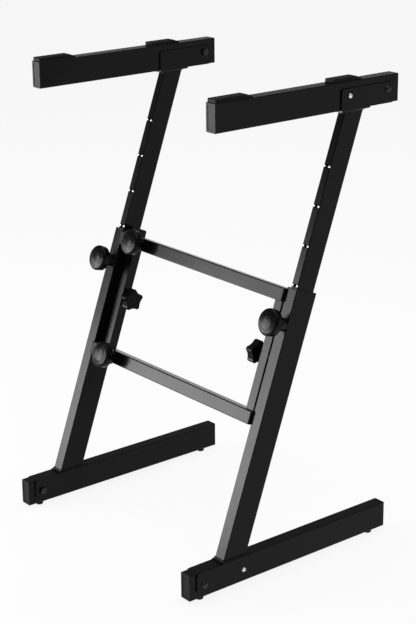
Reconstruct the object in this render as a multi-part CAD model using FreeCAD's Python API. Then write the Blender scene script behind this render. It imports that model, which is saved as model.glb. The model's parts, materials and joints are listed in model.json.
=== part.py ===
import FreeCAD, Part
import math
import os

from FreeCAD import Placement, Rotation, Vector

# Folding keyboard stand made of two Z-shaped sides and a sliding centre frame, in mm.
# X runs across the stand, Y from front to back, Z up. The origin is the middle of the floor.

# Main tubes of the sides
tube_width = 25.0
tube_height = 50.0
tube_wall = 1.6
tube_corner = 1.6
side_spacing = 515.0        # between the middle planes of the two sides, narrowest setting
lean = 70.3                 # of the legs, from the floor

# Foot, arm and where the leg meets them, along Y from the foot's front end
foot_length = 479.0
arm_length = 419.0
arm_front = 65.8
leg_at_foot = 103.4         # leg axis on the foot's top face
arm_bottom_over_foot_top = 781.8
cap_flange = 2.0
rubber_height = 8.0
rubber_diameter = 15.0
rubber_from_end = 31.5

# Telescopic leg, lengths along the leg from the foot's top face
outer_top = 497.0
sleeve_lip = 1.5
inner_width = 17.0
inner_depth = 42.0
inner_wall = 1.5
inner_bottom = 320.0
hole_pitch = 72.0
hole_count = 6
pin_level = 432.0
pin_hole = 7.0

# Brackets, along Y from the leg axis on the tube's face
bracket_wall = 2.7
bracket_web = 3.0
bracket_gap = 0.3
bracket_depth = 38.0
lock_end = 38.0
pivot_end = 88.5
pivot_offset = 72.8
button_offset = 18.6
web_toe = 30.0
bolt_diameter = 8.0
nut_radius = 7.5            # to its corners
nut_thickness = 4.0
pivot_clearance = 0.08
button_diameter = 8.4

# Centre frame, depths are measured from the leg axis plane, to the rear
bar_size = 25.0
bar_wall = 1.5
bar_front = -31.0
bar_levels = (255.2, 482.5)
bar_clearance = 0.5         # between a crossbar's end cap and the leg
bar_cap = 2.0
post_size = 20.0
post_wall = 1.5
post_corner = 1.2
right_post_gap = 1.5        # between a post and the side of its leg
left_post_gap = 9.0
right_post_front = -26.0
post_over_bars = 11.0       # the left post beyond the sliding bars, at each end
post_cap = 4.0
slide_size = 19.0
slide_wall = 1.5
bar_left_end = -207.5
sleeve_flange = 2.0
width_pin_x = -174.5
width_pitch = 50.0
width_holes = 3

# Hinges between the posts and the legs
hinge_inset = 34.0          # of each hinge from the crossbar beside it
hinge_height = 24.0
leaf_thickness = 1.5
leaf_reach = 22.0           # of the leg's leaf from the barrel axis
leaf_start = 4.4
barrel_diameter = 7.0
barrel_offset = 4.0         # barrel axis from the side of the leg
barrel_behind = 6.0         # barrel axis from the post's rear face
hinge_pin_diameter = 4.0

# Pull pins
pin_diameter = 6.0
pin_rod = 6.0
bushing_hole = 14.0
pin_short = 0.5             # the drawn pins end this far from the tube they lock
knob_diameter = 50.0
knob_depth = 20.0
knob_lift = 0.8             # between the bushing and the knob at rest
height_neck = 20.0
width_neck = 12.0
height_spring_length = 5.5
width_spring_length = 2.5
neck_share = 0.6            # of the neck that is wide
neck_diameter = 24.5
collar_diameter = 14.0
chamber_diameter = 11.4
chamber_roof = 1.6

# Star knobs
star_diameter = 44.0
star_waist = 17.0           # axis to the bottom of a flute
flute_radius = 22.0
star_thickness = 17.0
star_standoff = 11.5
star_turn = 42.7            # one lobe, from the rear towards the leg's top
star_level = sum(bar_levels) / 2
stud_diameter = 8.0
stud_short = 0.2            # of the leg's plate
washer_thickness = 1.8
washer_diameter = 13.0

# Places worked out from the sizes above
y_middle = (arm_front + arm_length) / 2
foot_front = -y_middle
foot_top = rubber_height + tube_height
leg_y = foot_front + leg_at_foot
arm_bottom = foot_top + arm_bottom_over_foot_top
arm_top = arm_bottom + tube_height
arm_axis_y = leg_y + arm_bottom_over_foot_top / math.tan(math.radians(lean))
pivot_arm_z = arm_bottom + tube_height / 2
pivot_foot_z = rubber_height + tube_height / 2
bracket_outer = tube_width / 2 + bracket_gap + bracket_wall
hinge_levels = (bar_levels[0] + hinge_inset, bar_levels[1] - hinge_inset)
bar_depth = bar_front + bar_size / 2
bar_right_end = side_spacing / 2 - tube_width / 2 - bar_clearance - bar_cap
left_post_front = bar_depth + slide_size / 2
sides = (("right", 1, right_post_gap, right_post_front), ("left", -1, left_post_gap, left_post_front))

x_axis = Vector(1, 0, 0)
y_axis = Vector(0, 1, 0)
z_axis = Vector(0, 0, 1)


# ---- helpers

def box(x0, x1, y0, y1, z0, z1):
    return Part.makeBox(x1 - x0, y1 - y0, z1 - z0, Vector(x0, y0, z0))


def rod(diameter, start, end):
    """Cylinder between two points."""
    along = end - start
    return Part.makeCylinder(diameter / 2, along.Length, start, along)


def rounded_rectangle(width, depth, corner):
    """Face in the XY plane, centred on the origin."""
    half_x = width / 2 - corner
    half_y = depth / 2 - corner
    edges = []
    quarters = ((half_x, half_y, 0), (-half_x, half_y, 90), (-half_x, -half_y, 180), (half_x, -half_y, 270))
    for cx, cy, start in quarters:
        edges.append(Part.makeCircle(corner, Vector(cx, cy, 0), z_axis, start, start + 90))
    edges.append(Part.makeLine(Vector(half_x, depth / 2, 0), Vector(-half_x, depth / 2, 0)))
    edges.append(Part.makeLine(Vector(-width / 2, half_y, 0), Vector(-width / 2, -half_y, 0)))
    edges.append(Part.makeLine(Vector(-half_x, -depth / 2, 0), Vector(half_x, -depth / 2, 0)))
    edges.append(Part.makeLine(Vector(width / 2, -half_y, 0), Vector(width / 2, half_y, 0)))
    return Part.Face(Part.Wire(Part.sortEdges(edges)[0]))


def bar(width, depth, corner, z0, z1):
    """Solid bar along Z with rounded corners."""
    face = rounded_rectangle(width, depth, corner)
    face.translate(Vector(0, 0, z0))
    return face.extrude(Vector(0, 0, z1 - z0))


def tube(width, depth, wall, corner, z0, z1):
    """Open rectangular tube along Z."""
    inside = bar(width - 2 * wall, depth - 2 * wall, max(corner - wall, 0.4), z0 - 1, z1 + 1)
    return bar(width, depth, corner, z0, z1).cut(inside)


def revolve(profile, centre, direction):
    """Solid from (radius, height) points turned about Z, its Z then laid along direction."""
    points = [Vector(r, 0, h) for r, h in profile]
    wire = Part.makePolygon(points + [points[0]])
    solid = Part.Face(wire).revolve(Vector(0, 0, 0), z_axis, 360)
    solid.Placement = Placement(centre, Rotation(z_axis, direction))
    return solid


def prism(points, x0, x1):
    """Outline of (y, z) points pushed along X."""
    corners = [Vector(x0, y, z) for y, z in points]
    return Part.Face(Part.makePolygon(corners + [corners[0]])).extrude(Vector(x1 - x0, 0, 0))


def fillet_near(shape, radius, picked):
    """Round the edges for which picked(edge) is true."""
    edges = [edge for edge in shape.Edges if picked(edge)]
    return shape.makeFillet(radius, edges)


def on_leg(shape):
    """From the leg's own frame (X, depth, height along the leg) to the stand's."""
    tilt = Rotation(x_axis, lean - 90)
    moved = shape.copy()
    moved.Placement = Placement(Vector(0, leg_y, foot_top), tilt).multiply(moved.Placement)
    return moved


def at_side(shape, hand):
    """Move a piece of the right side, drawn about X = 0, to its side; the left one is its mirror image."""
    placed = shape.copy() if hand > 0 else shape.mirror(Vector(0, 0, 0), x_axis)
    placed.translate(Vector(hand * side_spacing / 2, 0, 0))
    return placed


def export(name, *solids):
    shape = solids[0] if len(solids) == 1 else Part.makeCompound(list(solids))
    shape.exportStep("parts/" + name + ".step")


# ---- tubes of the sides

def level_tube(y0, y1, z0):
    """Foot or arm tube, lying along Y on its narrow face."""
    shape = tube(tube_width, tube_height, tube_wall, tube_corner, y0, y1)
    shape.rotate(Vector(0, 0, 0), x_axis, -90)
    shape.translate(Vector(0, 0, z0 + tube_height / 2))
    return shape


def end_cap(y, z0, outward):
    """Plastic plug with a flange, a shallow panel in its face and two grip ribs inside the tube."""
    flange = bar(tube_width, tube_height, tube_corner, 0, cap_flange)
    flange = fillet_near(flange, 0.9, lambda e: min(v.Z for v in e.Vertexes) > cap_flange - 0.01)
    flange = flange.cut(bar(tube_width - 9, tube_height - 9, 2.0, cap_flange - 0.7, cap_flange + 1))
    plug = tube(tube_width - 2 * tube_wall - 1, tube_height - 2 * tube_wall - 1, 1.8, 2.0, -14, 0)
    cap = flange.fuse(plug)
    for depth in (-4.5, -9.5):
        rib = tube(tube_width - 2 * tube_wall, tube_height - 2 * tube_wall, 1.8, 1.4, depth - 1.2, depth)
        cap = cap.fuse(rib)
    cap.rotate(Vector(0, 0, 0), x_axis, -90 * outward)
    cap.translate(Vector(0, y, z0 + tube_height / 2))
    return cap.removeSplitter()


def drilled(shape, holes):
    for hole in holes:
        shape = shape.cut(hole)
    return shape


def foot_tube():
    y0 = foot_front + cap_flange
    y1 = foot_front + foot_length - cap_flange
    pivot_y = leg_y - pivot_offset
    button_y = leg_y + button_offset
    pivot = Vector(0, pivot_y, pivot_foot_z)
    button = Vector(0, button_y, pivot_foot_z)
    holes = [rod(bolt_diameter + 2 * pivot_clearance, pivot - x_axis * 20, pivot + x_axis * 20),
             rod(button_diameter + 1, button, button + x_axis * 20)]
    for y in rubber_places():
        holes.append(rod(6, Vector(0, y, rubber_height - 1), Vector(0, y, rubber_height + 5)))
    return drilled(level_tube(y0, y1, rubber_height), holes)


def rubber_places():
    return (foot_front + rubber_from_end, foot_front + foot_length - rubber_from_end)


def rubber_foot(y):
    """Push-in foot: a chamfered button with a barbed stem through the tube's bottom wall."""
    radius = rubber_diameter / 2
    profile = [(0, 0), (radius - 1.2, 0), (radius, 1.2), (radius, rubber_height), (2.8, rubber_height),
               (2.8, rubber_height + tube_wall), (3.6, rubber_height + tube_wall),
               (2.0, rubber_height + tube_wall + 3.5), (0, rubber_height + tube_wall + 3.5)]
    return revolve(profile, Vector(0, y, 0), z_axis)


def arm_tube():
    y0 = foot_front + arm_front + cap_flange
    y1 = foot_front + arm_front + arm_length - cap_flange
    pivot_y = arm_axis_y + pivot_offset
    button_y = arm_axis_y - button_offset
    pivot = Vector(0, pivot_y, pivot_arm_z)
    button = Vector(0, button_y, pivot_arm_z)
    holes = [rod(bolt_diameter + 2 * pivot_clearance, pivot - x_axis * 20, pivot + x_axis * 20),
             rod(button_diameter + 1, button, button + x_axis * 20)]
    return drilled(level_tube(y0, y1, arm_bottom), holes)


def arm_pad(y0, y1):
    """Rubber pad glued to the arm's top, sloped at its rear end, rounded along the top."""
    height = 7.0
    slope = 13.0
    nose = 2.0
    outline = [(y0, arm_top), (y1, arm_top), (y1, arm_top + nose), (y1 - slope, arm_top + height),
               (y0, arm_top + height)]
    pad = prism(outline, -10, 10)
    top = arm_top + height - 0.01
    return fillet_near(pad, 1.6, lambda e: min(v.Z for v in e.Vertexes) > top and abs(e.Vertexes[0].X) > 9)


# ---- brackets and their pivots

def bracket():
    """Bent U of sheet steel: X across, Y towards the pivot, Z into the U from the tube's face."""
    half = bracket_outer
    section = bar(2 * half, 2 * (bracket_depth + bracket_web), 3.2, -120, 120)
    inner = half - bracket_wall
    section = section.cut(bar(2 * inner, 2 * bracket_depth, 0.5, -121, 121))
    section = section.cut(box(-half - 1, half + 1, -120, 0, -122, 122))
    section.rotate(Vector(0, 0, 0), x_axis, 90)
    # the channel now runs along Y with its web on top, so it is turned over and set on the tube
    section.translate(Vector(0, 0, -bracket_depth))
    section.rotate(Vector(0, 0, 0), y_axis, 180)
    step = 0.4
    outline = [(-lock_end, -bracket_web), (web_toe, -bracket_web), (web_toe, step), (pivot_end, step),
               (pivot_end, bracket_depth), (-lock_end, bracket_depth)]
    profile = prism(outline, -half - 1, half + 1)

    def corner(edge):
        first, last = edge.Vertexes[0], edge.Vertexes[-1]
        across = abs(first.X - last.X) > half
        return across and (first.Z > bracket_depth - 0.1 or (first.Y > pivot_end - 0.1))
    profile = fillet_near(profile, 6.0, corner)
    shape = section.common(profile)
    pivot = Vector(0, pivot_offset, tube_height / 2)
    shape = shape.cut(rod(bolt_diameter, pivot - x_axis * 30, pivot + x_axis * 30))
    button = Vector(0, -button_offset, tube_height / 2)
    return shape.cut(rod(button_diameter + 0.2, button, button + x_axis * 30))


def arm_bracket():
    shape = bracket()
    shape.translate(Vector(0, arm_axis_y, arm_bottom))
    return shape


def foot_bracket():
    shape = bracket()
    shape.rotate(Vector(0, 0, 0), x_axis, 180)
    shape.translate(Vector(0, leg_y, foot_top))
    return shape


def pivot_bolt(y, z):
    """Dome-headed bolt through the bracket and tube, head on +X, with its nut on -X."""
    centre = Vector(bracket_outer, y, z)
    dome = [(0, 0), (6.5, 0), (6.5, 0.9), (5.6, 2.6), (3.8, 3.9), (1.6, 4.5), (0, 4.5)]
    head = revolve(dome, centre, x_axis)
    shank = rod(bolt_diameter, Vector(-bracket_outer - nut_thickness - 0.5, y, z), centre)
    return head.fuse(shank).removeSplitter()


def pivot_nut(y, z):
    corners = []
    for k in range(6):
        angle = math.radians(60 * k)
        corners.append(Vector(-bracket_outer, y + nut_radius * math.cos(angle), z + nut_radius * math.sin(angle)))
    nut = Part.Face(Part.makePolygon(corners + [corners[0]])).extrude(Vector(-nut_thickness, 0, 0))
    return nut.cut(rod(bolt_diameter, Vector(-30, y, z), Vector(0, y, z)))


def snap_button(y, z):
    """Domed button in the bracket's hole, on +X."""
    inner = tube_width / 2 + bracket_gap
    radius = button_diameter / 2
    profile = [(0, 0), (radius, 0), (radius, bracket_wall + 1.2), (radius - 0.6, bracket_wall + 2.1),
               (radius - 2.0, bracket_wall + 2.9), (0, bracket_wall + 3.2)]
    return revolve(profile, Vector(inner, y, z), x_axis)


def button_spring(y, z, towards):
    """Folded leaf spring inside the tube, drawn pressed: one leg behind the button, one on the far wall."""
    wall = tube_width / 2 - tube_wall
    near = wall - 4.6
    leaf = 0.8
    end = y + towards * 6
    bend = y - towards * 46
    low, high = sorted((end, bend))
    legs = box(near - leaf, near, low, high, z - 5, z + 5)
    legs = legs.fuse(box(-wall, -wall + leaf, low, high, z - 5, z + 5))
    middle = (near - wall) / 2
    outer = (near + wall) / 2
    ring = Part.makeCylinder(outer, 10, Vector(middle, bend, z - 5), z_axis)
    ring = ring.cut(Part.makeCylinder(outer - leaf, 10, Vector(middle, bend, z - 5), z_axis))
    if towards > 0:
        ring = ring.common(box(-40, 40, bend - 40, bend, z - 6, z + 6))
    else:
        ring = ring.common(box(-40, 40, bend, bend + 40, z - 6, z + 6))
    return legs.fuse(ring).removeSplitter()


# ---- telescopic leg, in the leg's own frame

def outer_leg(gap, post_front):
    """Outer tube with its two hinge leaves and the threaded boss for the star knob, welded on."""
    shape = tube(tube_width, tube_height, tube_wall, tube_corner, -60, outer_top)
    front = -tube_height / 2
    shape = shape.cut(rod(bushing_hole, Vector(0, front - 5, pin_level), Vector(0, front + 5, pin_level)))
    stud = Vector(-tube_width / 2, post_front + post_size / 2, star_level)
    shape = shape.fuse(rod(18, stud, stud - x_axis * (gap - 0.5)))
    shape = shape.cut(rod(stud_diameter + 0.4, stud + x_axis * 5, stud - x_axis * (gap + 1)))
    # the leaves lie in the gap beside the post where they have room, and else behind the barrel
    towards = -1 if gap > 2 * leaf_thickness else 1
    for level in hinge_levels:
        shape = shape.fuse(leg_leaf(post_front, level, towards))
    return shape


def hinge_place(post_front):
    """Centre of the hinge barrel in X and depth."""
    return -tube_width / 2 - barrel_offset, post_front + post_size + barrel_behind


def leg_leaf(post_front, level, towards):
    """Leaf on the leg's side, to the front or to the rear of the barrel, with the middle knuckle."""
    x, depth = hinge_place(post_front)
    side = -tube_width / 2
    half = hinge_height / 2
    third = hinge_height / 6
    start, end = sorted((depth + towards * leaf_start, depth + towards * leaf_reach))
    leaf = box(side - leaf_thickness, side, start, end, level - half, level + half)
    start, end = sorted((depth, depth + towards * (leaf_start + 1)))
    arm = box(side - leaf_thickness, side, start, end, level - third, level + third)
    arm = arm.fuse(box(x, side, depth - 2, depth + 2.8, level - third, level + third))
    knuckle = rod(barrel_diameter, Vector(x, depth, level - third), Vector(x, depth, level + third))
    bore = rod(hinge_pin_diameter + 0.1, Vector(x, depth, level - half), Vector(x, depth, level + half))
    return leaf.fuse(arm).fuse(knuckle).cut(bore)


def post_leaf(gap, post_front, level):
    """Leaf on the post's rear face, with the two outer knuckles."""
    x, depth = hinge_place(post_front)
    rear = post_front + post_size
    half = hinge_height / 2
    far = -tube_width / 2 - gap - post_size * 0.7
    shape = box(far, x - 3.9, rear, rear + 2, level - half, level + half)
    for low in (level - half, level + hinge_height / 6 + 0.3):
        high = low + hinge_height / 3 - 0.3
        arm = box(x - 5, x, rear, depth, low, high)
        knuckle = rod(barrel_diameter, Vector(x, depth, low), Vector(x, depth, high))
        bore = rod(hinge_pin_diameter, Vector(x, depth, low - 1), Vector(x, depth, high + 1))
        shape = shape.fuse(arm.fuse(knuckle).cut(bore))
    return shape


def hinge_pin(post_front, level):
    x, depth = hinge_place(post_front)
    half = hinge_height / 2
    head = [(0, half), (3.2, half), (3.2, half + 1), (2.2, half + 2), (0, half + 2)]
    pin = rod(hinge_pin_diameter, Vector(x, depth, level - half - 1), Vector(x, depth, level + half + 0.5))
    return pin.fuse(revolve(head, Vector(x, depth, level), z_axis)).removeSplitter()


def leg_sleeve():
    """Plastic guide pushed into the outer tube's top."""
    cavity_x = tube_width - 2 * tube_wall
    cavity_y = tube_height - 2 * tube_wall
    body = bar(cavity_x, cavity_y, 1.4, outer_top - 42, outer_top)
    body = body.fuse(bar(tube_width, tube_height, tube_corner, outer_top, outer_top + sleeve_lip))
    hole = bar(inner_width + 0.3, inner_depth + 0.3, 1.8, outer_top - 50, outer_top + 10)
    return body.cut(hole).removeSplitter()


def inner_leg(top):
    shape = tube(inner_width, inner_depth, inner_wall, 2.0, inner_bottom, top)
    front = -inner_depth / 2
    for k in range(hole_count):
        level = pin_level + (k - 1) * hole_pitch
        shape = shape.cut(rod(pin_hole, Vector(0, front - 5, level), Vector(0, front + 5, level)))
    return shape


def leg_glide():
    """Plastic plug at the inner tube's foot, running in the outer tube."""
    cavity_x = tube_width - 2 * tube_wall
    cavity_y = tube_height - 2 * tube_wall
    foot = bar(cavity_x - 0.4, cavity_y - 0.4, 1.4, inner_bottom - 16, inner_bottom)
    plug_x = inner_width - 2 * inner_wall
    plug_y = inner_depth - 2 * inner_wall
    plug = bar(plug_x, plug_y, 0.6, inner_bottom, inner_bottom + 18)
    hollow = bar(inner_width - 7, inner_depth - 7, 1.0, inner_bottom - 20, inner_bottom + 14)
    return foot.fuse(plug).cut(hollow).removeSplitter()


def cut_level(shape, z, keep_above):
    """Square off a leg at a level plane, in the stand's frame."""
    if keep_above:
        return shape.cut(box(-400, 400, -400, 400, z - 300, z))
    return shape.cut(box(-400, 400, -400, 400, z, z + 300))


# ---- pull pins: built along Z with the tube's face at Z = 0, the pin pointing down

def pin_bushing(neck, wall):
    """Threaded bushing: wide at the tube, then a thinner collar, with a spring chamber inside."""
    wide = neck_diameter / 2
    collar = collar_diameter / 2
    chamber = chamber_diameter / 2
    shoulder = neck * neck_share
    hole = pin_rod / 2 + 0.1
    bore = pin_diameter / 2 + 0.08
    thread = bushing_hole / 2 - 0.1
    roof = neck - chamber_roof
    profile = [(bore, -wall), (thread, -wall), (thread, 0), (wide, 0), (wide, shoulder - 1),
               (wide - 1, shoulder), (collar, shoulder), (collar, neck), (hole, neck), (hole, roof),
               (chamber, roof), (chamber, 1.0), (bore, 1.0)]
    return revolve(profile, Vector(0, 0, 0), z_axis)


def pin_spring(neck, length):
    """Coil spring, drawn closed at the top of its chamber."""
    top = neck - chamber_roof - 0.1
    turns = 3
    pitch = length / turns
    inner = pin_rod / 2 + 0.4
    outer = chamber_diameter / 2 - 0.3
    profile = [(inner, top - length), (inner, top)]
    for k in range(turns):
        low = top - k * pitch
        profile += [(outer - 0.5, low), (outer, low - pitch / 2)]
    profile.append((outer - 0.5, top - length))
    return revolve(profile, Vector(0, 0, 0), z_axis)


def pin_plunger(neck, tip):
    """Pin with a pointed end, a shoulder in the chamber and a rod up into the knob."""
    radius = pin_diameter / 2
    stem = pin_rod / 2
    shoulder = chamber_diameter / 2 - 0.2
    profile = [(0, tip), (radius - 1.6, tip), (radius, tip + 1.6), (radius, 1.2), (shoulder, 1.2),
               (shoulder, 2.2), (stem, 2.2), (stem, neck + 8), (0, neck + 8)]
    return revolve(profile, Vector(0, 0, 0), z_axis)


def pull_knob(neck):
    """Round moulded knob with a rounded rim and a low dome in front, its rear bored for the pin's rod."""
    low = neck + knob_lift
    high = low + knob_depth
    rim = knob_diameter / 2
    stem = pin_rod / 2
    bored = neck + 8
    front = Vector(0, 0, high)
    dome_edge = Vector(rim - 4.0, 0, high - 2.2)
    shoulder = Vector(rim, 0, high - 7.0)
    wire = [Part.makeLine(Vector(0, 0, bored), front)]
    wire.append(Part.Arc(front, Vector((rim - 4.0) * 0.55, 0, high - 0.65), dome_edge).toShape())
    wire.append(Part.Arc(dome_edge, Vector(rim - 1.1, 0, high - 3.9), shoulder).toShape())
    rest = [shoulder, Vector(rim - 0.8, 0, low + 3.0), Vector(rim - 3.5, 0, low), Vector(stem, 0, low),
            Vector(stem, 0, bored), Vector(0, 0, bored)]
    for start, end in zip(rest, rest[1:]):
        wire.append(Part.makeLine(start, end))
    return Part.Face(Part.Wire(wire)).revolve(Vector(0, 0, 0), z_axis, 360)


def facing_front(shape, x, depth, level):
    """Lay a pull-pin piece on a front face: its Z becomes the leg frame's forward direction."""
    moved = shape.copy()
    moved.Placement = Placement(Vector(x, depth, level), Rotation(x_axis, 90)).multiply(moved.Placement)
    return on_leg(moved)


# ---- centre frame, in the leg's own frame, X measured from the stand's middle

def across(size, wall, corner, x0, x1, level):
    """Square tube along X, on the crossbars' axis plane."""
    shape = tube(size, size, wall, corner, x0, x1)
    shape.Placement = Placement(Vector(0, bar_depth, level), Rotation(y_axis, 90)).multiply(shape.Placement)
    return shape


def crossbar(level):
    shape = across(bar_size, bar_wall, 2.0, bar_left_end, bar_right_end, level)
    hole = Vector(width_pin_x, bar_front, level)
    return shape.cut(rod(bushing_hole, hole - y_axis * 3, hole + y_axis * 3))


def crossbar_cap(level):
    """Plug in the crossbar's right end, with a bevelled flange."""
    flange = bar(bar_size, bar_size, 2.0, 0, bar_cap)
    flange = fillet_near(flange, 1.5, lambda e: min(v.Z for v in e.Vertexes) > bar_cap - 0.01)
    cap = flange.fuse(tube(bar_size - 2 * bar_wall, bar_size - 2 * bar_wall, 2.0, 1.0, -14, 0))
    cap.Placement = Placement(Vector(bar_right_end, bar_depth, level), Rotation(y_axis, 90))
    return cap


def crossbar_sleeve(level):
    """Plastic guide for the sliding bar, in the crossbar's left end."""
    body = bar(bar_size - 2 * bar_wall, bar_size - 2 * bar_wall, 1.0, 0, 26)
    body = body.fuse(bar(bar_size, bar_size, 2.0, -sleeve_flange, 0))
    body = body.cut(bar(slide_size + 0.3, slide_size + 0.3, 1.6, -5, 30)).removeSplitter()
    body.Placement = Placement(Vector(bar_left_end, bar_depth, level), Rotation(y_axis, 90))
    return body


def post_tube(gap, post_front, z0, z1):
    """Square post beside the leg, drilled for the star knob's stud."""
    x = -tube_width / 2 - gap - post_size / 2
    shape = tube(post_size, post_size, post_wall, post_corner, z0, z1)
    shape.translate(Vector(x, post_front + post_size / 2, 0))
    stud = Vector(x, post_front + post_size / 2, star_level)
    shape = shape.cut(rod(stud_diameter + 0.6, stud - x_axis * post_size, stud + x_axis * post_size))
    for level in hinge_levels:
        shape = shape.fuse(post_leaf(gap, post_front, level))
    return shape


def right_post():
    """Post welded between the two crossbars."""
    half = bar_size / 2
    return post_tube(right_post_gap, right_post_front, bar_levels[0] + half, bar_levels[1] - half)


def left_post():
    """Post on the rear faces of the two sliding bars, passing them at both ends."""
    reach = slide_size / 2 + post_over_bars
    return post_tube(left_post_gap, left_post_front, bar_levels[0] - reach, bar_levels[1] + reach)


def post_plug(top):
    """Rounded plug in one end of the left post."""
    reach = slide_size / 2 + post_over_bars
    head = bar(post_size, post_size, post_corner, 0, post_cap)
    head = fillet_near(head, 3.0, lambda e: min(v.Z for v in e.Vertexes) > post_cap - 0.01)
    plug = head.fuse(tube(post_size - 2 * post_wall, post_size - 2 * post_wall, 2.0, 0.8, -12, 0))
    centre = Vector(-tube_width / 2 - left_post_gap - post_size / 2, left_post_front + post_size / 2, 0)
    if top:
        plug.translate(centre + z_axis * (bar_levels[1] + reach))
    else:
        plug.rotate(Vector(0, 0, 0), x_axis, 180)
        plug.translate(centre + z_axis * (bar_levels[0] - reach))
    return plug


def width_bar(level):
    """Sliding bar with its row of pin holes, drawn in the stand's X."""
    start = -side_spacing / 2 + tube_width / 2 + bar_clearance + bar_cap
    end = width_pin_x + (width_holes - 1) * width_pitch + 40
    shape = across(slide_size, slide_wall, 2.0, start, end, level)
    front = bar_depth - slide_size / 2
    for k in range(width_holes):
        x = width_pin_x + k * width_pitch
        shape = shape.cut(rod(pin_hole, Vector(x, front - 3, level), Vector(x, front + 3, level)))
    return shape


def bar_cover(level):
    """Moulded cover round the front of a sliding bar's outer end, as large as the crossbar."""
    start = -side_spacing / 2 + tube_width / 2 + bar_clearance
    end = bar_left_end - sleeve_flange - 0.3
    cover = bar(bar_size, bar_size, 2.0, 0, end - start)
    cover = fillet_near(cover, 1.5, lambda e: max(v.Z for v in e.Vertexes) < 0.01)
    cover = cover.cut(bar(slide_size + 0.1, slide_size + 0.1, 1.9, bar_cap, end - start + 1))
    cover.Placement = Placement(Vector(start, bar_depth, level), Rotation(y_axis, 90))
    behind = left_post_front - 0.3
    return cover.cut(box(start + bar_cap, end + 1, behind, behind + 20, level - bar_size, level + bar_size))


# ---- star knobs, in the leg's own frame, built from the post's free face at X = 0 along +X

def star_handle():
    """Five blunt lobes with shallow flutes between them, on a round hub."""
    reach = star_diameter / 2
    handle = Part.makeCylinder(reach, star_thickness, Vector(star_standoff, 0, 0), x_axis)
    for k in range(5):
        angle = math.radians(star_turn + 36 + 72 * k)
        offset = star_waist + flute_radius
        centre = Vector(star_standoff - 1, offset * math.cos(angle), offset * math.sin(angle))
        handle = handle.cut(Part.makeCylinder(flute_radius, star_thickness + 2, centre, x_axis))
    handle = fillet_near(handle, 3.0, lambda e: abs(e.Vertexes[0].X - e.Vertexes[-1].X) > star_thickness - 0.01)
    outer = star_standoff + star_thickness - 0.01
    handle = fillet_near(handle, 2.5, lambda e: min(v.X for v in e.Vertexes) > outer)
    hub = rod(18, Vector(washer_thickness + 1.7, 0, 0), Vector(star_standoff + 1, 0, 0))
    return handle.fuse(hub).cut(rod(stud_diameter + 0.1, Vector(0, 0, 0), Vector(18, 0, 0)))


def star_stud():
    """Steel stud moulded into the handle, with a fixed washer under the hub."""
    stud = rod(stud_diameter, Vector(-post_size - stud_short, 0, 0), Vector(18, 0, 0))
    return stud.fuse(rod(washer_diameter, Vector(0, 0, 0), Vector(washer_thickness, 0, 0))).removeSplitter()


def at_post(shape, gap, post_front):
    """Turn a star-knob piece inwards and set it on the post's free face."""
    moved = shape.copy()
    moved.rotate(Vector(0, 0, 0), y_axis, 180)
    moved.translate(Vector(-tube_width / 2 - gap - post_size, post_front + post_size / 2, star_level))
    return on_leg(moved)


# ---- assembly

def build_side(name, hand, gap, post_front):

    def put(node, *solids):
        export(name + "_" + node, *[at_side(solid, hand) for solid in solids])

    # foot
    button_y = leg_y + button_offset
    put("foot", foot_tube())
    put("foot_caps", end_cap(foot_front + cap_flange, rubber_height, -1),
        end_cap(foot_front + foot_length - cap_flange, rubber_height, 1))
    put("rubber_feet", *[rubber_foot(y) for y in rubber_places()])
    put("foot_button_spring", button_spring(button_y, pivot_foot_z, -1))
    # leg base
    pivot_y = leg_y - pivot_offset
    put("foot_bracket", foot_bracket())
    put("foot_pivot", pivot_bolt(pivot_y, pivot_foot_z), pivot_nut(pivot_y, pivot_foot_z))
    put("foot_button", snap_button(button_y, pivot_foot_z))
    # telescopic leg
    lower = on_leg(outer_leg(gap, post_front))
    put("outer_leg", cut_level(lower, foot_top + bracket_web, True))
    put("leg_sleeve", on_leg(leg_sleeve()))
    upper = on_leg(inner_leg(outer_top + 400))
    put("inner_leg", cut_level(upper, arm_bottom - bracket_web, False))
    put("leg_glide", on_leg(leg_glide()))
    put("hinge_pins", *[on_leg(hinge_pin(post_front, level)) for level in hinge_levels])
    # height pull pin
    face = -tube_height / 2
    tip = pin_short - (tube_height - inner_depth) / 2
    put("height_catch", facing_front(pin_bushing(height_neck, tube_wall), 0, face, pin_level),
        facing_front(pin_spring(height_neck, height_spring_length), 0, face, pin_level))
    put("height_pin", facing_front(pin_plunger(height_neck, tip), 0, face, pin_level))
    put("height_knob", facing_front(pull_knob(height_neck), 0, face, pin_level))
    # arm
    pivot_y = arm_axis_y + pivot_offset
    button_y = arm_axis_y - button_offset
    arm_y = foot_front + arm_front
    put("arm_bracket", arm_bracket())
    put("arm_pivot", pivot_bolt(pivot_y, pivot_arm_z), pivot_nut(pivot_y, pivot_arm_z))
    put("arm_button", snap_button(button_y, pivot_arm_z))
    put("arm", arm_tube())
    put("arm_caps", end_cap(arm_y + cap_flange, arm_bottom, -1),
        end_cap(arm_y + arm_length - cap_flange, arm_bottom, 1))
    put("arm_pads", arm_pad(arm_y + cap_flange, arm_y + 82.5), arm_pad(arm_y + 262.5, arm_y + 330.5))
    put("arm_button_spring", button_spring(button_y, pivot_arm_z, 1))
    # star knob
    put("star_knob", at_post(star_handle(), gap, post_front))
    put("star_stud", at_post(star_stud(), gap, post_front))


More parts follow.
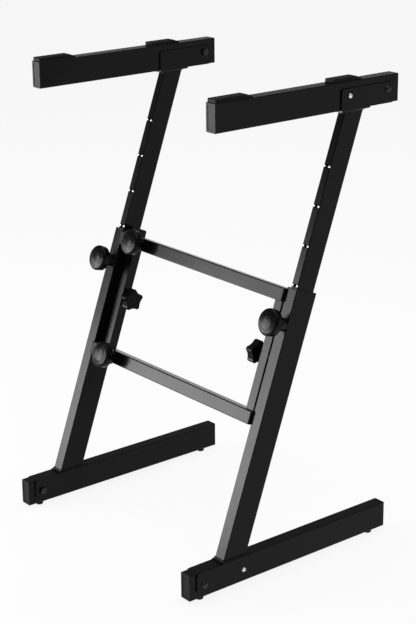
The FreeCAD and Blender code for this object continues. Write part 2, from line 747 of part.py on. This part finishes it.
def build_frame():
    export("crossbars", *[on_leg(crossbar(level)) for level in bar_levels])
    plugs = [crossbar_cap(level) for level in bar_levels] + [crossbar_sleeve(level) for level in bar_levels]
    export("crossbar_plugs", *[on_leg(plug) for plug in plugs])
    export("right_post", at_side(on_leg(right_post()), 1))
    export("left_post", at_side(on_leg(left_post()), -1))
    plugs = [at_side(on_leg(post_plug(top)), -1) for top in (False, True)]
    export("left_post_plugs", *plugs)
    export("width_bars", *[on_leg(width_bar(level)) for level in bar_levels])
    export("bar_covers", *[on_leg(bar_cover(level)) for level in bar_levels])
    tip = pin_short - (bar_size - slide_size) / 2
    catches = []
    for name, level in zip(("lower", "upper"), bar_levels):
        for piece in (pin_bushing(width_neck, bar_wall), pin_spring(width_neck, width_spring_length)):
            catches.append(facing_front(piece, width_pin_x, bar_front, level))
        plunger = facing_front(pin_plunger(width_neck, tip), width_pin_x, bar_front, level)
        export(name + "_width_pin", plunger)
        export(name + "_width_knob", facing_front(pull_knob(width_neck), width_pin_x, bar_front, level))
    export("width_catches", *catches)


os.makedirs("parts", exist_ok=True)
for side in sides:
    build_side(*side)
build_frame()
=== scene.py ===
import json
import math

import bmesh
import bpy
from mathutils import Matrix, Vector


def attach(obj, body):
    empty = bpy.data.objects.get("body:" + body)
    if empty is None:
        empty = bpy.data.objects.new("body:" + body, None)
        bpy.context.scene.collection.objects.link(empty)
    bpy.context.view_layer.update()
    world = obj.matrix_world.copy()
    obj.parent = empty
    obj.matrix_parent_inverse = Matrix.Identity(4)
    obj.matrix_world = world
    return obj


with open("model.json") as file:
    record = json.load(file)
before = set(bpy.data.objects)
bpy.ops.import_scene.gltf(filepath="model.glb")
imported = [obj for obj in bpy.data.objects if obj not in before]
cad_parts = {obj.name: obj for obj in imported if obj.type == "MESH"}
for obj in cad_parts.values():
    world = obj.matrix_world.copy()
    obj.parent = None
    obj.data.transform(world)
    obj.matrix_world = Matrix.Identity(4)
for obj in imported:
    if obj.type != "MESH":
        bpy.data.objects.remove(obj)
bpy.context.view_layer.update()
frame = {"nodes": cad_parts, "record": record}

print("frame loaded:", len(frame["nodes"]), "nodes")


# ---- camera, at the photograph's angle

photoView = {
    "azimuth": 51.17,  # degrees, from looking along +Y towards looking along -X
    "downwards": 18.63,  # degrees
    "roll": -0.49,  # degrees
    "place": (2.3146, -1.8411, 1.4235),  # metres
    "focalLength": 95.1, "sensor": 36,  # mm, across the taller side of the picture
}


def addCamera(view):
    azimuth, down, roll = (math.radians(view[k]) for k in ("azimuth", "downwards", "roll"))
    flat = math.cos(down)
    forward = Vector((-math.sin(azimuth) * flat, math.cos(azimuth) * flat, -math.sin(down)))
    levelRight = Vector((math.cos(azimuth), math.sin(azimuth), 0))
    levelUp = levelRight.cross(forward)
    right = levelRight * math.cos(roll) + levelUp * math.sin(roll)
    up = levelUp * math.cos(roll) - levelRight * math.sin(roll)
    turn = Matrix((right, up, -forward)).transposed()
    data = bpy.data.cameras.new("photoCamera")
    data.sensor_width = view["sensor"]
    data.lens = view["focalLength"]
    camera = bpy.data.objects.new("photoCamera", data)
    camera.matrix_world = Matrix.Translation(view["place"]) @ turn.to_4x4()
    bpy.context.scene.collection.objects.link(camera)
    bpy.context.scene.camera = camera


addCamera(photoView)


# ---- materials

def linear(hexColour):
    channels = [int(hexColour[k:k + 2], 16) / 255 for k in (1, 3, 5)]
    return [c / 12.92 if c <= 0.04045 else ((c + 0.055) / 1.055) ** 2.4 for c in channels] + [1]


def addNode(tree, kind, settings=None, inputs=None):
    node = tree.nodes.new(kind)
    for name, value in (settings or {}).items():
        setattr(node, name, value)
    for name, value in (inputs or {}).items():
        if isinstance(value, bpy.types.NodeSocket):
            tree.links.new(value, node.inputs[name])
        else:
            node.inputs[name].default_value = value
    return node


def newMaterial(name):
    material = bpy.data.materials.new(name)
    material.use_nodes = True
    return material, material.node_tree, material.node_tree.nodes["Principled BSDF"]


def addGrain(tree, shader, look):
    # noise of the grain's size, in mm, varies the gloss and, where the look has a bump, the height
    place = addNode(tree, "ShaderNodeTexCoord").outputs["Object"]
    noise = addNode(tree, "ShaderNodeTexNoise", None,
                    {"Vector": place, "Scale": 1000 / look["grain"], "Detail": look["detail"]})
    grain = noise.outputs["Fac"]
    gloss, dull = look["roughness"]
    rough = addNode(tree, "ShaderNodeMapRange", None,
                    {"Value": grain, "To Min": gloss, "To Max": dull})
    tree.links.new(rough.outputs["Result"], shader.inputs["Roughness"])
    if "bump" in look:
        strength, depth = look["bump"]
        bump = addNode(tree, "ShaderNodeBump", None,
                       {"Height": grain, "Strength": strength, "Distance": depth})
        tree.links.new(bump.outputs["Normal"], shader.inputs["Normal"])


def plainFinish(name, look):
    # one colour all over, with the grain of how the surface was made
    material, tree, shader = newMaterial(name)
    shader.inputs["Base Color"].default_value = linear(look["colour"])
    sockets = {"metallic": "Metallic", "ior": "IOR", "specular": "Specular IOR Level"}
    for key, socket in sockets.items():
        if key in look:
            shader.inputs[socket].default_value = look[key]
    addGrain(tree, shader, look)
    return material


powderCoat = {
    "dark": "#070708", "light": "#0e0e0f",
    "peel": 1.6, "peelDetail": 2.0,  # mm, the orange peel left when the powder flows out
    "cloud": 70.0, "cloudDetail": 3.0,  # mm, slow change of thickness along a tube
    "roughness": (0.17, 0.25), "bump": (0.06, 0.0002),
    "ior": 1.42, "specular": 0.15,
}


def powderCoatedSteel(look):
    # gloss black polyester powder on steel tube: deep black, with a slightly wavy reflection
    material, tree, shader = newMaterial("powderCoatedSteel")
    place = addNode(tree, "ShaderNodeTexCoord").outputs["Object"]
    peel = addNode(tree, "ShaderNodeTexNoise", None,
                   {"Vector": place, "Scale": 1000 / look["peel"], "Detail": look["peelDetail"]})
    cloud = addNode(tree, "ShaderNodeTexNoise", None,
                    {"Vector": place, "Scale": 1000 / look["cloud"], "Detail": look["cloudDetail"]})
    thickness = cloud.outputs["Fac"]
    colour = addNode(tree, "ShaderNodeMix", {"data_type": "RGBA"}, {"Factor": thickness})
    colour.inputs[6].default_value = linear(look["dark"])
    colour.inputs[7].default_value = linear(look["light"])
    gloss, dull = look["roughness"]
    rough = addNode(tree, "ShaderNodeMapRange", None,
                    {"Value": thickness, "To Min": gloss, "To Max": dull})
    strength, depth = look["bump"]
    bump = addNode(tree, "ShaderNodeBump", None,
                   {"Height": peel.outputs["Fac"], "Strength": strength, "Distance": depth})
    tree.links.new(colour.outputs[2], shader.inputs["Base Color"])
    tree.links.new(rough.outputs["Result"], shader.inputs["Roughness"])
    tree.links.new(bump.outputs["Normal"], shader.inputs["Normal"])
    shader.inputs["IOR"].default_value = look["ior"]
    shader.inputs["Specular IOR Level"].default_value = look["specular"]
    return material


# caps and guide sleeves: black polypropylene from a lightly spark-eroded mould, satin
mouldedPolypropylene = {
    "colour": "#131314", "grain": 0.9, "detail": 4.0,
    "roughness": (0.36, 0.5), "bump": (0.15, 0.0002),
    "ior": 1.49, "specular": 0.115,
}

# pull knobs and star knobs: black ABS from a polished mould, a soft gloss that ripples slightly
mouldedAbs = {
    "colour": "#080808", "grain": 6.0, "detail": 3.0,
    "roughness": (0.15, 0.27), "bump": (0.05, 0.0004),
    "ior": 1.54, "specular": 0.07,
}

# bushings and the star knobs' studs: passivated black zinc, satin and slightly uneven
blackZincSteel = {
    "colour": "#0d0d0e", "grain": 0.7, "detail": 3.0,
    "roughness": (0.24, 0.38), "bump": (0.08, 0.0001),
    "ior": 1.5, "specular": 0.15,
}

# the bright and bare steels: metallic, with the fine scratches of barrel finishing
barrelled = {"metallic": 1.0, "detail": 4.0, "bump": (0.04, 0.0001)}

# snap buttons: bright and a little warm
nickelPlatedSteel = {**barrelled, "colour": "#e2e1de", "grain": 0.8, "roughness": (0.112, 0.224)}

# pull pins and hinge pins: bright, a little bluish
zincPlatedSteel = {**barrelled, "colour": "#b4b8bc", "grain": 0.6, "roughness": (0.196, 0.392)}

# springs: dark hard-drawn wire and strip
oiledSpringSteel = {**barrelled, "colour": "#55565a", "grain": 0.5, "roughness": (0.245, 0.49)}

# pivot bolts and nuts: blackened, rubbed to a dull grey
blackenedBoltSteel = {**barrelled, "colour": "#343436", "grain": 0.8, "roughness": (0.238, 0.476)}

rubberLook = {
    "colour": "#090909", "grain": 1.2, "detail": 5.0,
    "bloom": "#111111", "bloomSize": 25.0, "bloomDetail": 2.0,  # mm
    "roughness": 0.6, "bump": (0.3, 0.0002),
    "ior": 1.52, "specular": 0.12,
}


def mouldedRubber(look):
    # feet and arm pads: carbon-black rubber, dull, with a faint grey bloom
    material, tree, shader = newMaterial("mouldedRubber")
    place = addNode(tree, "ShaderNodeTexCoord").outputs["Object"]
    grain = addNode(tree, "ShaderNodeTexNoise", None,
                    {"Vector": place, "Scale": 1000 / look["grain"], "Detail": look["detail"]})
    bloom = addNode(tree, "ShaderNodeTexNoise", None,
                    {"Vector": place, "Scale": 1000 / look["bloomSize"], "Detail": look["bloomDetail"]})
    colour = addNode(tree, "ShaderNodeMix", {"data_type": "RGBA"}, {"Factor": bloom.outputs["Fac"]})
    colour.inputs[6].default_value = linear(look["colour"])
    colour.inputs[7].default_value = linear(look["bloom"])
    strength, depth = look["bump"]
    bump = addNode(tree, "ShaderNodeBump", None,
                   {"Height": grain.outputs["Fac"], "Strength": strength, "Distance": depth})
    tree.links.new(colour.outputs[2], shader.inputs["Base Color"])
    tree.links.new(bump.outputs["Normal"], shader.inputs["Normal"])
    shader.inputs["Roughness"].default_value = look["roughness"]
    shader.inputs["IOR"].default_value = look["ior"]
    shader.inputs["Specular IOR Level"].default_value = look["specular"]
    return material


finishes = {
    "frame_paint": powderCoatedSteel(powderCoat),
    "moulded_plastic": plainFinish("mouldedPolypropylene", mouldedPolypropylene),
    "knob_plastic": plainFinish("mouldedAbs", mouldedAbs),
    "rubber": mouldedRubber(rubberLook),
    "nickel": plainFinish("nickelPlatedSteel", nickelPlatedSteel),
    "black_zinc": plainFinish("blackZincSteel", blackZincSteel),
    "zinc_steel": plainFinish("zincPlatedSteel", zincPlatedSteel),
    "spring_steel": plainFinish("oiledSpringSteel", oiledSpringSteel),
}
boltFinish = plainFinish("blackenedBoltSteel", blackenedBoltSteel)


def finishNodes():
    for subpart in frame["record"]["subparts"]:
        node = frame["nodes"][subpart["node"]]
        material = finishes[subpart["material_slot"]]
        if subpart["node"].endswith("_pivot"):
            material = boltFinish
        if not node.data.materials:
            node.data.materials.append(material)
        for slot in node.material_slots:
            slot.material = material


finishNodes()
print("materials set:", len(finishes) + 1)


# ---- pieces on the legs, in the leg's own directions: across, to the rear, up the leg

legLine = {
    "lean": 70.3,  # degrees from the floor
    "y": -0.139, "z": 0.058,  # where the leg's axis meets the top of the foot
    "sides": {"right": 0.2575, "left": -0.2575},
    "pinLevel": 0.432, "holePitch": 0.072,  # along the leg
}


def legPoint(x, depth, level):
    lean = math.radians(legLine["lean"])
    along = Vector((0, math.cos(lean), math.sin(lean)))
    rear = Vector((0, math.sin(lean), -math.cos(lean)))
    return Vector((x, legLine["y"], legLine["z"])) + along * level + rear * depth


def addPiece(name, body, material, verts, faces, smooth=False):
    mesh = bpy.data.meshes.new(name)
    mesh.from_pydata([tuple(v) for v in verts], [], faces)
    piece = bpy.data.objects.new(name, mesh)
    bpy.context.scene.collection.objects.link(piece)
    repair = bmesh.new()
    repair.from_mesh(mesh)
    bmesh.ops.recalc_face_normals(repair, faces=repair.faces)
    repair.to_mesh(mesh)
    repair.free()
    for face in mesh.polygons:
        face.use_smooth = smooth
    mesh.materials.append(material)
    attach(piece, body)


inkLook = {
    "colour": "#f2f2ee", "worn": "#c9c9c4",
    "speck": 0.35, "detail": 3.0,  # mm
    "wear": (0.55, 0.75),  # the noise's levels between which the ink thins out
    "roughness": 0.5, "ior": 1.5,
}


def printedInk(look):
    # white pad-printed ink: matte, greyer in specks where it is thin over the black
    material, tree, shader = newMaterial("whitePrintedInk")
    place = addNode(tree, "ShaderNodeTexCoord").outputs["Object"]
    speck = addNode(tree, "ShaderNodeTexNoise", None,
                    {"Vector": place, "Scale": 1000 / look["speck"], "Detail": look["detail"]})
    first, full = look["wear"]
    thin = addNode(tree, "ShaderNodeMapRange", None,
                   {"Value": speck.outputs["Fac"], "From Min": first, "From Max": full})
    colour = addNode(tree, "ShaderNodeMix", {"data_type": "RGBA"}, {"Factor": thin.outputs["Result"]})
    colour.inputs[6].default_value = linear(look["colour"])
    colour.inputs[7].default_value = linear(look["worn"])
    tree.links.new(colour.outputs[2], shader.inputs["Base Color"])
    shader.inputs["Roughness"].default_value = look["roughness"]
    shader.inputs["IOR"].default_value = look["ior"]
    return material


heightMarks = {
    "front": -0.0211, "proud": 0.00008,  # on the inner leg's front face
    "inner": 0.0037, "outer": 0.0084,  # from the hole's centre, on both sides of it
    "height": 0.0034,
    "count": 4, "steps": 6,  # holes in sight, and steps round the end of a bar
}


def markOutline(start, end, height, steps):
    # a bar with rounded ends, as (across, up) points
    radius = height / 2
    points = []
    for centre, first in ((end - radius, -math.pi / 2), (start + radius, math.pi / 2)):
        for k in range(steps + 1):
            a = first + math.pi * k / steps
            points.append((centre + radius * math.cos(a), radius * math.sin(a)))
    return points


def addHeightMarks(side, x, ink):
    look = heightMarks
    verts, faces = [], []
    for hole in range(1, look["count"] + 1):
        level = legLine["pinLevel"] + legLine["holePitch"] * hole
        for start, end in ((-look["outer"], -look["inner"]), (look["inner"], look["outer"])):
            outline = markOutline(start, end, look["height"], look["steps"])
            first = len(verts)
            for depth in (look["front"], look["front"] + look["proud"]):
                verts += [legPoint(x + across, depth, level + up) for across, up in outline]
            n = len(outline)
            faces.append(list(range(first, first + n)))
            faces.append(list(range(first + n, first + 2 * n)))
            for k in range(n):
                after = (k + 1) % n
                faces.append([first + k, first + after, first + n + after, first + n + k])
    addPiece(side + "HeightMarks", side + "_mast", ink, verts, faces)


ink = printedInk(inkLook)
for side, x in legLine["sides"].items():
    addHeightMarks(side, x, ink)
print("height marks printed")


weldBead = {
    "radius": 0.0021,
    "ripple": 0.0004, "pitch": 0.0028,  # the bead swells once for each drop of metal
    "corner": 0.0016, "cornerSteps": 4, "stepsPerRipple": 4, "ring": 8,
}


def beadPath(halfX, halfY, look):
    # points round a rectangle with rounded corners, evenly spaced
    corner = look["corner"]
    step = look["pitch"] / look["stepsPerRipple"]
    line = []
    for cx, cy, turn in ((1, 1, 0), (-1, 1, 90), (-1, -1, 180), (1, -1, 270)):
        middle = Vector((cx * (halfX - corner), cy * (halfY - corner), 0))
        for k in range(look["cornerSteps"] + 1):
            a = math.radians(turn + 90 * k / look["cornerSteps"])
            line.append(middle + Vector((corner * math.cos(a), corner * math.sin(a), 0)))
    points = []
    for a, b in zip(line, line[1:] + line[:1]):
        count = max(1, round((b - a).length / step))
        points += [a.lerp(b, k / count) for k in range(count)]
    return points


def addWeld(name, body, centre, halfX, halfY, material):
    look = weldBead
    path = beadPath(halfX, halfY, look)
    verts, faces = [], []
    ring = look["ring"]
    run = 0.0
    for k, point in enumerate(path):
        ahead = path[(k + 1) % len(path)]
        forward = (ahead - path[k - 1]).normalized()
        outward = Vector((forward.y, -forward.x, 0))
        swell = look["radius"] + look["ripple"] * abs(math.sin(math.pi * run / look["pitch"]))
        run += (ahead - point).length
        for j in range(ring):
            a = 2 * math.pi * j / ring
            rise = Vector((0, 0, swell * math.sin(a)))
            verts.append(centre + point + outward * (swell * math.cos(a)) + rise)
    for k in range(len(path)):
        for j in range(ring):
            a, b = k * ring, (k + 1) % len(path) * ring
            faces.append([a + j, a + (j + 1) % ring, b + (j + 1) % ring, b + j])
    addPiece(name, body, material, verts, faces, smooth=True)


legWelds = {  # round the outer leg on the foot's bracket, and round the inner leg under the arm's
    "foot": {"body": "_leg", "z": 0.061, "halfX": 0.0125, "depth": 0.025},
    "arm": {"body": "_mast", "z": 0.8368, "halfX": 0.0085, "depth": 0.021},
}

lean = math.radians(legLine["lean"])
for side, x in legLine["sides"].items():
    for end, weld in legWelds.items():
        y = legLine["y"] + (weld["z"] - legLine["z"]) / math.tan(lean)
        addWeld(side + end.capitalize() + "Weld", side + weld["body"], Vector((x, y, weld["z"])),
                weld["halfX"], weld["depth"] / math.sin(lean), finishes["frame_paint"])
print("weld beads laid")


# ---- blank badges on the pull knobs

badge = {
    "radius": 0.0165, "proud": 0.00025,
    "dome": 0.1013,  # radius of the crown that it lies on
    "edge": 0.0004, "rim": 1.01,  # the outer ring drops this far and is this much wider
    "rings": 6, "around": 48,
    "heightCrown": -0.0658, "widthCrown": -0.0638,  # crown of the knob, in front of the leg's axis
    "widthX": -0.1745, "widthLevels": {"lower": 0.2552, "upper": 0.4825},
}

# blank plastic film: a little smoother and greyer than the moulded cap round it
satinBadgeFilm = {
    "colour": "#0b0b0c", "grain": 0.5, "detail": 2.0, "roughness": (0.15, 0.25),
    "ior": 1.49, "specular": 0.08,
}


def addBadge(name, body, x, level, crown, material):
    look = badge
    rings, around = look["rings"], look["around"]
    verts = [legPoint(x, crown - look["proud"], level)]
    for ring in range(1, rings + 1):
        r = look["radius"] * ring / rings
        sag = look["dome"] - math.sqrt(look["dome"] ** 2 - r ** 2)
        lift = look["proud"]
        if ring == rings:
            r = look["radius"] * look["rim"]
            lift -= look["edge"]
        for k in range(around):
            a = 2 * math.pi * k / around
            verts.append(legPoint(x + r * math.cos(a), crown + sag - lift, level + r * math.sin(a)))
    faces = [[0, 1 + k, 1 + (k + 1) % around] for k in range(around)]
    for ring in range(rings - 1):
        a, b = 1 + ring * around, 1 + (ring + 1) * around
        faces += [[a + k, b + k, b + (k + 1) % around, a + (k + 1) % around] for k in range(around)]
    addPiece(name, body, material, verts, faces, smooth=True)


film = plainFinish("satinBadgeFilm", satinBadgeFilm)
for side, x in legLine["sides"].items():
    addBadge(side + "HeightBadge", side + "_height_pull", x, legLine["pinLevel"],
             badge["heightCrown"], film)
for name, level in badge["widthLevels"].items():
    addBadge(name + "WidthBadge", name + "_width_pull", badge["widthX"], level,
             badge["widthCrown"], film)
print("badges set")


# ---- floor and light

studio = {
    "floor": "#f6f6f6", "floorReach": 20, "floorRoughness": 0.9, "floorSpecular": 0.1,
    "floorGlow": 0.88,  # share of plain white that the camera and reflections see in the floor
    # grey by the height of the direction: white at the floor, dark behind, under a soft ceiling
    "sky": ((0.0, 0.85), (0.12, 0.4), (0.22, 0.18), (0.45, 0.17), (0.75, 0.4), (1.0, 0.6)),
}

softboxes = {  # metres and watts
    # two panels, one before the other, so that the reflections in the legs fade upwards
    "tallSoftbox": {
        "place": (-1.62, -2.13, 0.55), "target": (0, 0, 0.55), "size": (1.3, 1.06), "power": 53.0,
    },
    "lowSoftbox": {
        "place": (-2.1, -1.65, 0.3), "target": (0, 0, 0.3), "size": (1.3, 0.55), "power": 16.0,
    },
    "overheadSoftbox": {
        "place": (0, 0, 3.2), "target": (0, 0, 0), "size": (3.5, 3.5), "power": 60.0,
    },
}


def addFloor(look):
    mesh = bpy.data.meshes.new("floor")
    reach = look["floorReach"]
    corners = [(-reach, -reach, 0), (reach, -reach, 0), (reach, reach, 0), (-reach, reach, 0)]
    mesh.from_pydata(corners, [], [(0, 1, 2, 3)])
    floor = bpy.data.objects.new("floor", mesh)
    bpy.context.scene.collection.objects.link(floor)
    material, tree, shader = newMaterial("paperFloor")
    shader.inputs["Base Color"].default_value = linear(look["floor"])
    shader.inputs["Roughness"].default_value = look["floorRoughness"]
    shader.inputs["Specular IOR Level"].default_value = look["floorSpecular"]
    path = addNode(tree, "ShaderNodeLightPath")
    mirrored = addNode(tree, "ShaderNodeMath", {"operation": "MAXIMUM"})
    tree.links.new(path.outputs["Is Glossy Ray"], mirrored.inputs[0])
    tree.links.new(path.outputs["Is Transmission Ray"], mirrored.inputs[1])
    seen = addNode(tree, "ShaderNodeMath", {"operation": "MAXIMUM"})
    tree.links.new(path.outputs["Is Camera Ray"], seen.inputs[0])
    tree.links.new(mirrored.outputs[0], seen.inputs[1])
    share = addNode(tree, "ShaderNodeMapRange", None,
                    {"Value": seen.outputs[0], "To Max": look["floorGlow"]})
    white = addNode(tree, "ShaderNodeEmission", None, {"Strength": 1.0})
    mixed = addNode(tree, "ShaderNodeMixShader", None, {"Fac": share.outputs["Result"]})
    tree.links.new(shader.outputs[0], mixed.inputs[1])
    tree.links.new(white.outputs[0], mixed.inputs[2])
    tree.links.new(mixed.outputs[0], tree.nodes["Material Output"].inputs["Surface"])
    mesh.materials.append(material)


def addWorld(look):
    world = bpy.data.worlds.new("studioWorld")
    bpy.context.scene.world = world
    world.use_nodes = True
    tree = world.node_tree
    background = tree.nodes["Background"]
    place = addNode(tree, "ShaderNodeTexCoord").outputs["Generated"]
    height = addNode(tree, "ShaderNodeSeparateXYZ", None, {"Vector": place}).outputs["Z"]
    sky = addNode(tree, "ShaderNodeValToRGB", None, {"Fac": height})
    stops = sky.color_ramp.elements
    for k, (z, grey) in enumerate(look["sky"]):
        stop = stops[k] if k < len(stops) else stops.new(z)
        stop.position = z
        stop.color = (grey, grey, grey, 1)
    tree.links.new(sky.outputs["Color"], background.inputs["Color"])
    background.inputs["Strength"].default_value = 1.0


def addSoftbox(name, look):
    data = bpy.data.lights.new(name, "AREA")
    data.shape = "RECTANGLE"
    data.size, data.size_y = look["size"]
    data.energy = look["power"]
    lamp = bpy.data.objects.new(name, data)
    lamp.location = look["place"]
    aim = Vector(look["target"]) - Vector(look["place"])
    lamp.rotation_euler = aim.to_track_quat("-Z", "Y").to_euler()
    bpy.context.scene.collection.objects.link(lamp)


addFloor(studio)
addWorld(studio)
for name, look in softboxes.items():
    addSoftbox(name, look)
bpy.context.scene.view_settings.view_transform = "Standard"
print("stage ready")
